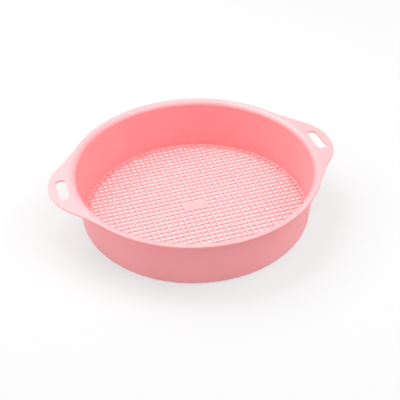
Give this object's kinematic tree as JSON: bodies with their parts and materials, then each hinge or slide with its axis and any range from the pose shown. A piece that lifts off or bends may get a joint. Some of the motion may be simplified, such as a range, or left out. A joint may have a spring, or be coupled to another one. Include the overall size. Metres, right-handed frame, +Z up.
{
  "type": "soil sieve",
  "caption": "Shallow round plastic garden sieve with a tapered wall, a flat rim, slotted handle lugs and a floor of crossing ribs for sifting soil.",
  "frame": {"origin": "centre of the foot ring, on the ground plane", "axes": "+Z up out of the tub, +X through the right handle lug, +Y towards the side of the rim without lugs"},
  "size_m": [0.346, 0.3, 0.066],
  "materials": {
    "moulded_plastic": "satin, pale pink, injection moulded"
  },
  "bodies": {
    "root": {"side_wall": "moulded_plastic", "rim_flange": "moulded_plastic", "handle_lug_left": "moulded_plastic", "handle_lug_right": "moulded_plastic", "base_ring": "moulded_plastic", "long_ribs": "moulded_plastic", "cross_ribs": "moulded_plastic", "tag_plate": "moulded_plastic"}
  },
  "joints": []
}
